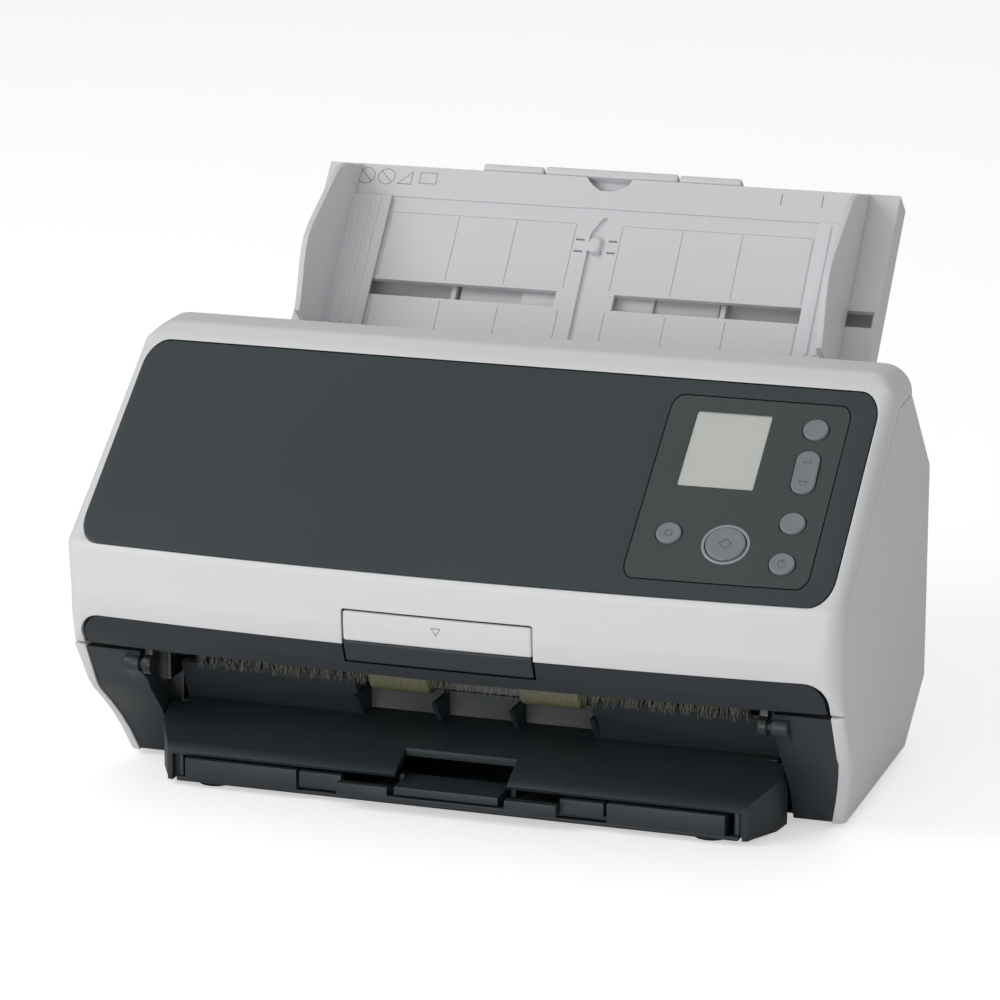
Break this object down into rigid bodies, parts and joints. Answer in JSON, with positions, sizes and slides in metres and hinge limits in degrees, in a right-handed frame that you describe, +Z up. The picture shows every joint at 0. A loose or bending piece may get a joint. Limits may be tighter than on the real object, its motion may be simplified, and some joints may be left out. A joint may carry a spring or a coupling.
{
  "type": "sheet fed document scanner",
  "caption": "Sheet fed document scanner with a tilted input chute, paired side guides, a hinged front with operator keys, and a pull-out stacker.",
  "frame": {"origin": "on the table, under the middle of the scanner's box", "axes": "+X across the paper to the right as seen from the front, +Y to the rear, +Z up"},
  "size_m": [0.3, 0.2252, 0.2088],
  "materials": {
    "light_shell": "fine matte grain",
    "dark_panel": "fine matte grain",
    "black_plastic": "matte",
    "guide_plastic": "smooth matte",
    "key_plastic": "satin",
    "display": "clear with a grey-green display under it",
    "circuit_board": "green solder mask",
    "steel": "turned",
    "zinc_sheet": "plated sheet",
    "roller_rubber": "olive, slightly translucent",
    "dark_rubber": "matt",
    "clear_glass": "polished",
    "bristle": "fine fibre",
    "light_ring": "frosted"
  },
  "bodies": {
    "base": {"chute_back": "light_shell", "base_tray": "black_plastic", "left_side_cover": "light_shell", "right_side_cover": "light_shell", "rear_cover": "light_shell", "left_cheek": "black_plastic", "right_cheek": "black_plastic", "hinge_pins": "steel", "left_side_frame": "zinc_sheet", "right_side_frame": "zinc_sheet", "lower_guide": "guide_plastic", "lower_glass": "clear_glass", "lower_image_sensor": "guide_plastic", "exit_guide": "black_plastic", "drive_motor": "steel", "drive_belt": "dark_rubber", "main_board": "circuit_board", "dc_inlet": "black_plastic", "data_ports": "black_plastic", "feet": "dark_rubber", "floor_screws": "steel", "stacker_plate": "black_plastic", "chute": "light_shell", "chute_clip": "light_shell"},
    "front_unit": {"front_cover": "light_shell", "front_panel": "dark_panel", "operator_bezel": "dark_panel", "lcd_window": "display", "scan_ring": "light_ring", "operator_board": "circuit_board", "lower_trim": "black_plastic", "brush_strip": "bristle", "upper_guide": "guide_plastic", "upper_glass": "clear_glass", "upper_image_sensor": "guide_plastic"},
    "rocker": {"rocker_key": "key_plastic"},
    "lever": {"release_lever": "light_shell"},
    "latch": {"latch_bar": "black_plastic"},
    "brakes": {"brake_rollers": "roller_rubber"},
    "pinches": {"pinch_rollers": "roller_rubber"},
    "pick": {"pick_shaft": "steel", "pick_rollers": "roller_rubber"},
    "feed": {"feed_shaft": "steel", "feed_rollers": "roller_rubber"},
    "eject": {"eject_shaft": "steel", "eject_rollers": "roller_rubber"},
    "motor_drive": {"motor_pulley": "steel"},
    "left_guide_body": {"left_guide": "light_shell"},
    "right_guide_body": {"right_guide": "light_shell"},
    "pinion": {"guide_pinion": "guide_plastic"},
    "sheet_extension": {"chute_extension": "light_shell"},
    "sheet_inner_extension": {"chute_inner_extension": "light_shell"},
    "stacker": {"stacker_slide": "black_plastic"},
    "stacker_inner": {"stacker_extension": "black_plastic"},
    "stop_flap": {"paper_stop": "black_plastic"},
    "menu_key": {"menu_button": "key_plastic"},
    "manual_feed_key": {"manual_feed_button": "key_plastic"},
    "power_key": {"power_button": "key_plastic"},
    "stop_key": {"stop_button": "key_plastic"},
    "scan_key": {"scan_button": "key_plastic"}
  },
  "joints": [
    {"name": "front_open", "type": "hinge", "parent": "base", "child": "front_unit", "pos_m": [0, -0.09684, 0.0478], "axis": [1, 0, 0], "range_deg": [0, 75]},
    {"name": "menu_press", "type": "slide", "parent": "front_unit", "child": "menu_key", "axis": [-0.0088, 0.6151, -0.7884], "range_m": [0, 0.0008], "stiffness_N_per_m": 500, "springref_m": -0.0008},
    {"name": "manual_feed_press", "type": "slide", "parent": "front_unit", "child": "manual_feed_key", "axis": [-0.028, 0.615, -0.788], "range_m": [0, 0.0008], "stiffness_N_per_m": 500, "springref_m": -0.0008},
    {"name": "power_press", "type": "slide", "parent": "front_unit", "child": "power_key", "axis": [-0.0361, 0.6149, -0.7878], "range_m": [0, 0.0008], "stiffness_N_per_m": 500, "springref_m": -0.0008},
    {"name": "stop_press", "type": "slide", "parent": "front_unit", "child": "stop_key", "axis": [-0.0201, 0.6027, -0.7977], "range_m": [0, 0.0008], "stiffness_N_per_m": 500, "springref_m": -0.0008},
    {"name": "scan_press", "type": "slide", "parent": "front_unit", "child": "scan_key", "axis": [-0.0268, 0.608, -0.7935], "range_m": [0, 0.0008], "stiffness_N_per_m": 500, "springref_m": -0.0008},
    {"name": "rocker_tilt", "type": "hinge", "parent": "front_unit", "child": "rocker", "pos_m": [0.12425, -0.05769, 0.13073], "axis": [0.9998, 0.0108, -0.0139], "range_deg": [-3, 3], "stiffness_Nm_per_rad": 0.08},
    {"name": "release_pull", "type": "hinge", "parent": "front_unit", "child": "lever", "pos_m": [0, -0.10884, 0.0796], "axis": [-1, 0, 0], "range_deg": [0, 8], "stiffness_Nm_per_rad": 0.3, "springref_deg": -11.46},
    {"name": "latch_turn", "type": "hinge", "parent": "front_unit", "child": "latch", "pos_m": [0, -0.08144, 0.092], "axis": [-1, 0, 0], "range_deg": [0, 12]},
    {"name": "brake_spin", "type": "hinge", "parent": "front_unit", "child": "brakes", "pos_m": [0, 0.01219, 0.11084], "axis": [1, 0, 0], "continuous": true},
    {"name": "pinch_spin", "type": "hinge", "parent": "front_unit", "child": "pinches", "pos_m": [0, -0.00576, 0.08954], "axis": [1, 0, 0], "continuous": true},
    {"name": "pick_spin", "type": "hinge", "parent": "base", "child": "pick", "pos_m": [0, 0.02519, 0.09989], "axis": [1, 0, 0], "continuous": true},
    {"name": "feed_spin", "type": "hinge", "parent": "base", "child": "feed", "pos_m": [0, 0.00724, 0.07859], "axis": [1, 0, 0], "continuous": true},
    {"name": "eject_spin", "type": "hinge", "parent": "base", "child": "eject", "pos_m": [0, -0.06284, 0.044], "axis": [1, 0, 0], "continuous": true},
    {"name": "motor_spin", "type": "hinge", "parent": "base", "child": "motor_drive", "pos_m": [0, -0.01344, 0.034], "axis": [1, 0, 0], "continuous": true},
    {"name": "left_guide_slide", "type": "slide", "parent": "base", "child": "left_guide_body", "axis": [1, 0, 0], "range_m": [0, 0.075]},
    {"name": "right_guide_slide", "type": "slide", "parent": "base", "child": "right_guide_body", "axis": [1, 0, 0], "range_m": [-0.075, 0]},
    {"name": "guide_pinion_spin", "type": "hinge", "parent": "base", "child": "pinion", "pos_m": [0, 0.07051, 0.1599], "axis": [0, -0.7646, 0.6445], "range_deg": [-720, 0]},
    {"name": "chute_extend", "type": "slide", "parent": "base", "child": "sheet_extension", "axis": [0, 0.6445, 0.7646], "range_m": [0, 0.08]},
    {"name": "chute_inner_extend", "type": "slide", "parent": "sheet_extension", "child": "sheet_inner_extension", "axis": [0, 0.6445, 0.7646], "range_m": [0, 0.07]},
    {"name": "stacker_pull", "type": "slide", "parent": "base", "child": "stacker", "axis": [0, -1, 0], "range_m": [0, 0.08]},
    {"name": "stacker_inner_pull", "type": "slide", "parent": "stacker", "child": "stacker_inner", "axis": [0, -1, 0], "range_m": [0, 0.08]},
    {"name": "stop_flip", "type": "hinge", "parent": "stacker_inner", "child": "stop_flap", "pos_m": [0, -0.08594, 0.0096], "axis": [-1, 0, 0], "range_deg": [0, 85]}
  ],
  "couplings": [
    {"joint": "latch_turn", "follows": "release_pull", "ratio": 1.5},
    {"joint": "eject_spin", "follows": "feed_spin", "ratio": 1},
    {"joint": "motor_spin", "follows": "feed_spin", "ratio": 1.48},
    {"joint": "right_guide_slide", "follows": "left_guide_slide", "ratio": -1},
    {"joint": "guide_pinion_spin", "follows": "left_guide_slide", "rad_per_m": -166.67}
  ]
}
